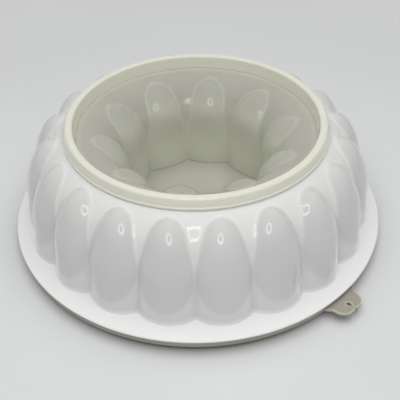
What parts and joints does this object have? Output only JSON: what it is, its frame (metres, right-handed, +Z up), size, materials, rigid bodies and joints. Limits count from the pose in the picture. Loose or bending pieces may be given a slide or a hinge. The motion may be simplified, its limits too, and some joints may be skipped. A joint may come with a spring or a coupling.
{
  "type": "jelly mould",
  "caption": "Ring jelly mould set standing upside down: fluted white plastic ring, removable milky centre cup with inward lobes, and translucent base seal with a pull tab.",
  "frame": {"origin": "on the axis of the rings, in the plane that the base seal stands on", "axes": "+Z up along the axis, from the wide seal to the open centre cup; +X and +Y across the flange, with the seal's pull tab 45 degrees clockwise from +X and the core's small tab 60 degrees anticlockwise from +X"},
  "size_m": [0.26, 0.26, 0.0869],
  "materials": {
    "seal_translucent": "satin translucent",
    "body_white": "gloss",
    "core_milky": "semi-matte, milky"
  },
  "bodies": {
    "seal": {"base_seal": "seal_translucent"},
    "body": {"ring_mould": "body_white"},
    "core": {"centre_core": "core_milky"}
  },
  "joints": [
    {"name": "mould_lift", "type": "slide", "parent": "seal", "child": "body", "axis": [0, 0, 1], "range_m": [0, 0.04]},
    {"name": "core_lift", "type": "slide", "parent": "body", "child": "core", "axis": [0, 0, 1], "range_m": [0, 0.09]}
  ]
}
